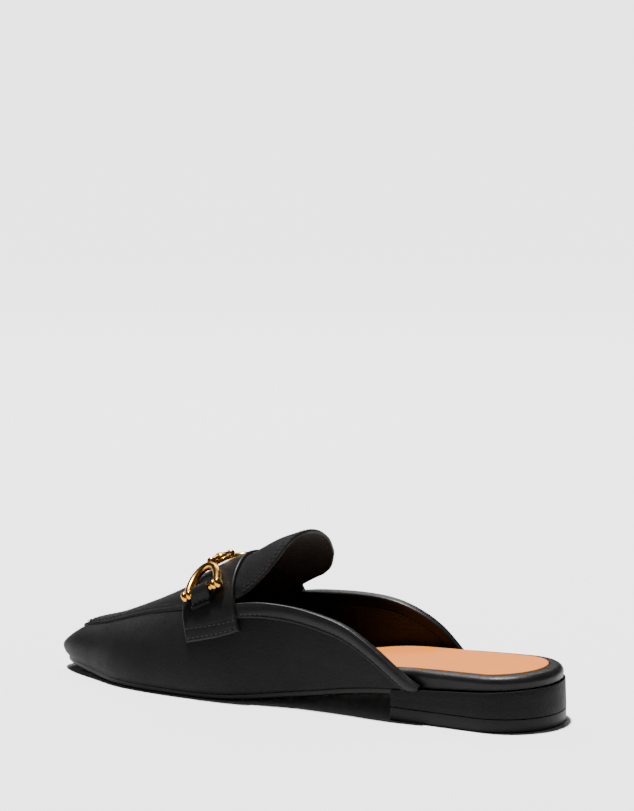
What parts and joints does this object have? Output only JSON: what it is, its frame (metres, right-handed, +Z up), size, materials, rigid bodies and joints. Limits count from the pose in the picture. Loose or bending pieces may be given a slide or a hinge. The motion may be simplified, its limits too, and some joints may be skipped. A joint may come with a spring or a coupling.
{
  "type": "loafer",
  "caption": "Backless leather loafer with an apron toe, a free tongue, a saddle strap with metal rings, a wrapped footbed and a low stacked heel.",
  "frame": {"origin": "middle of the bounding box, on the floor", "axes": "the toe points along -X and the heel along +X, -Y is the medial side, +Z up; the longest extent runs along X"},
  "size_m": [0.2642, 0.0824, 0.0796],
  "materials": {
    "upper_leather": "smooth black calf, satin",
    "footbed_leather": "smooth black wrap, satin",
    "sock_leather": "tan lining leather, matt",
    "heel_leather": "black heel cover, satin",
    "sole_rubber": "black, matt",
    "gilt_brass": "polished, pale gold"
  },
  "bodies": {
    "root": {"upper": "upper_leather", "apron": "upper_leather", "saddle_strap": "upper_leather", "binding_medial": "upper_leather", "binding_lateral": "upper_leather", "tab_medial": "upper_leather", "tab_lateral": "upper_leather", "footbed": "footbed_leather", "insole": "sock_leather", "outsole": "sole_rubber", "heel_block": "heel_leather", "heel_lift": "sole_rubber", "ring_medial": "gilt_brass", "ring_lateral": "gilt_brass", "bit_link": "gilt_brass"}
  },
  "joints": []
}
